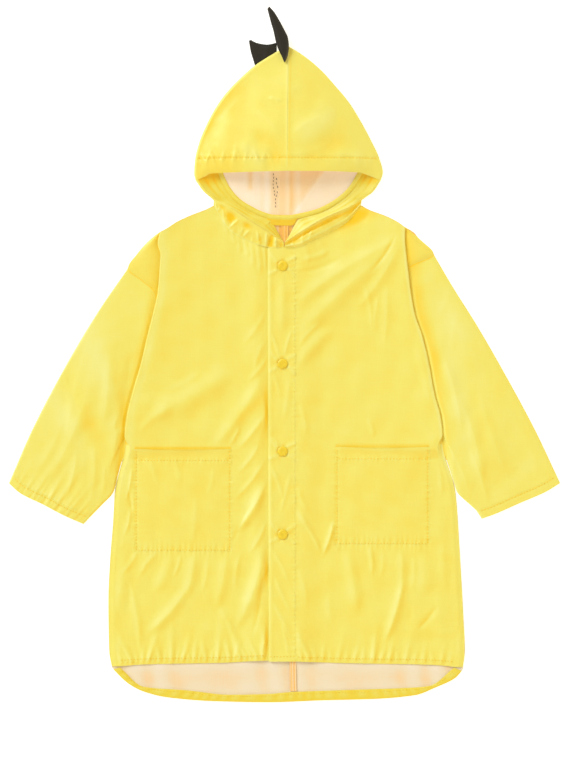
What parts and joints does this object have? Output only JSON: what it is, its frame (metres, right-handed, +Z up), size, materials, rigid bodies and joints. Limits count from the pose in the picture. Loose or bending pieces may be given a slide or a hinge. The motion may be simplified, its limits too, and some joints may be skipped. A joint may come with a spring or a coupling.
{
  "type": "kids raincoat",
  "caption": "Hooded long-sleeve raincoat for a small child, laid flat and face up, with a snap placket, patch pockets, gathered cuff and black cloth spikes on the hood.",
  "frame": {"origin": "middle of the bounding box in plan, on the surface the coat lies on", "axes": "+Z up out of the surface, +Y from the hem to the hood, +X towards the wearer's left sleeve"},
  "size_m": [0.7436, 0.9377, 0.0271],
  "materials": {
    "raincoat_yellow": "coated rain cloth, soft sheen, yellow outside",
    "facing_yellow": "coated rain cloth, turned or bound edge, deeper yellow",
    "spike_black": "black satin cloth",
    "snap_yellow": "moulded plastic snap cap, gloss"
  },
  "bodies": {
    "root": {"back_left": "raincoat_yellow", "back_right": "raincoat_yellow", "back_seam_tape": "facing_yellow", "hem_facing_back": "facing_yellow", "front_left": "raincoat_yellow", "front_right": "raincoat_yellow", "placket": "raincoat_yellow", "pocket_left": "raincoat_yellow", "pocket_right": "raincoat_yellow", "sleeve_left": "raincoat_yellow", "sleeve_right": "raincoat_yellow", "cuff_left": "raincoat_yellow", "cuff_right": "raincoat_yellow", "hood_left": "raincoat_yellow", "hood_right": "raincoat_yellow", "collar_left": "raincoat_yellow", "collar_right": "raincoat_yellow", "hood_facing_left": "facing_yellow", "hood_facing_right": "facing_yellow", "neck_binding": "facing_yellow", "spike_front": "spike_black", "spike_rear": "spike_black", "snap_1": "snap_yellow", "snap_2": "snap_yellow", "snap_3": "snap_yellow", "snap_4": "snap_yellow"}
  },
  "joints": []
}
